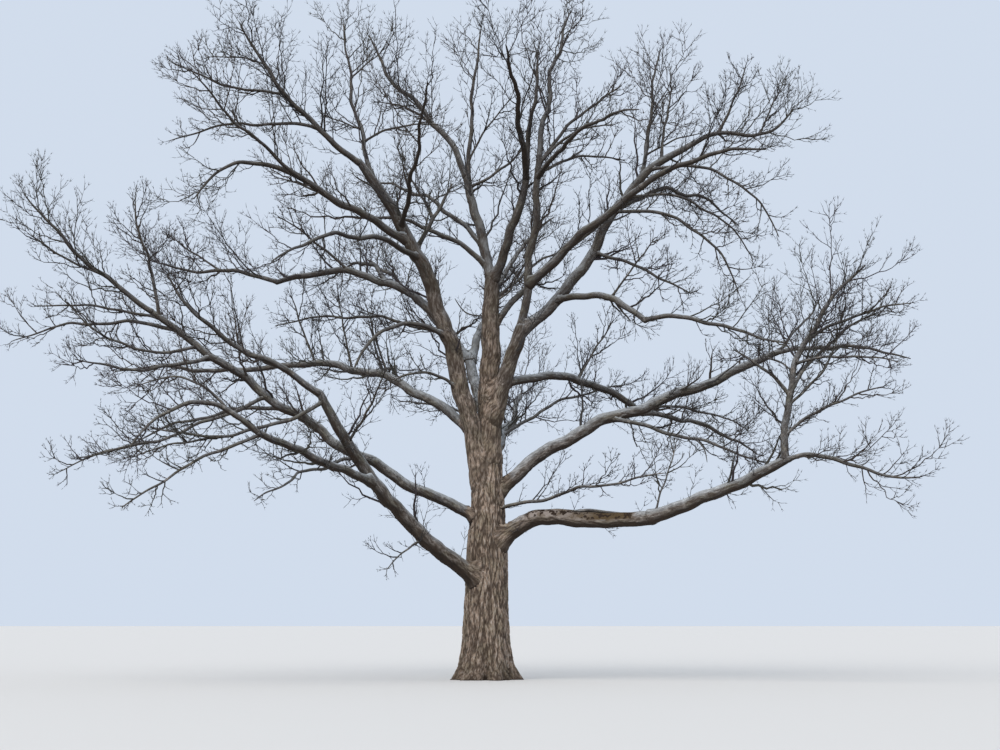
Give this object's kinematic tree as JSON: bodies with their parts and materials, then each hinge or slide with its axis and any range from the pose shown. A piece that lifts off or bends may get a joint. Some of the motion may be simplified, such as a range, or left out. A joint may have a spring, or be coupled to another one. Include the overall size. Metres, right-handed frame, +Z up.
{
  "type": "bare oak tree",
  "caption": "Bare broad-crowned oak in winter, with a flared trunk, long tapering boughs and fine forking twigs, standing on a flat cut at ground level.",
  "frame": {"origin": "the middle of the trunk's flat cut at ground level", "axes": "+Z up along the trunk, +X to the right and +Y away from the viewer on the side that the picture shows"},
  "size_m": [27.2468, 19.5419, 21.1814],
  "materials": {
    "trunk_bark": "thick grey-brown bark with long upright furrows and plates",
    "bough_bark": "rough silver-grey to brown bark, finer towards the ends, with pale patches and dark undersides",
    "twig_bark": "matt dark grey-brown twigs"
  },
  "bodies": {
    "root": {"trunk": "trunk_bark", "back_left": "bough_bark", "back_low": "bough_bark", "back_right": "bough_bark", "back_stem": "bough_bark", "centre_left": "bough_bark", "centre_right": "bough_bark", "centre_stem": "bough_bark", "left_arch": "bough_bark", "left_far": "bough_bark", "left_high": "bough_bark", "left_leader": "bough_bark", "left_low": "bough_bark", "left_pale": "bough_bark", "left_under": "bough_bark", "right_arm": "bough_bark", "right_inner": "bough_bark", "right_leader": "bough_bark", "right_long": "bough_bark", "right_low": "bough_bark", "right_low_end": "bough_bark", "right_reach": "bough_bark", "right_shelf": "bough_bark", "spire": "bough_bark", "twigs_arch_back": "twig_bark", "twigs_arch_end": "twig_bark", "twigs_arm_end": "twig_bark", "twigs_back_left": "twig_bark", "twigs_back_low": "twig_bark", "twigs_back_right": "twig_bark", "twigs_crown_back": "twig_bark", "twigs_crown_front": "twig_bark", "twigs_crown_left": "twig_bark", "twigs_crown_mid": "twig_bark", "twigs_far_back": "twig_bark", "twigs_far_low": "twig_bark", "twigs_far_under": "twig_bark", "twigs_far_up": "twig_bark", "twigs_high_end": "twig_bark", "twigs_high_rise": "twig_bark", "twigs_inner_end": "twig_bark", "twigs_left_droop": "twig_bark", "twigs_left_front": "twig_bark", "twigs_left_plume": "twig_bark", "twigs_left_skirt": "twig_bark", "twigs_long_end": "twig_bark", "twigs_long_rise": "twig_bark", "twigs_low_out": "twig_bark", "twigs_low_rise": "twig_bark", "twigs_pale_back": "twig_bark", "twigs_pale_end": "twig_bark", "twigs_reach_back": "twig_bark", "twigs_reach_end": "twig_bark", "twigs_reach_rise": "twig_bark", "twigs_riser": "twig_bark", "twigs_shelf_end": "twig_bark", "twigs_spire_front": "twig_bark", "twigs_spire_top": "twig_bark", "twigs_top_left": "twig_bark", "twigs_under_out": "twig_bark"}
  },
  "joints": []
}
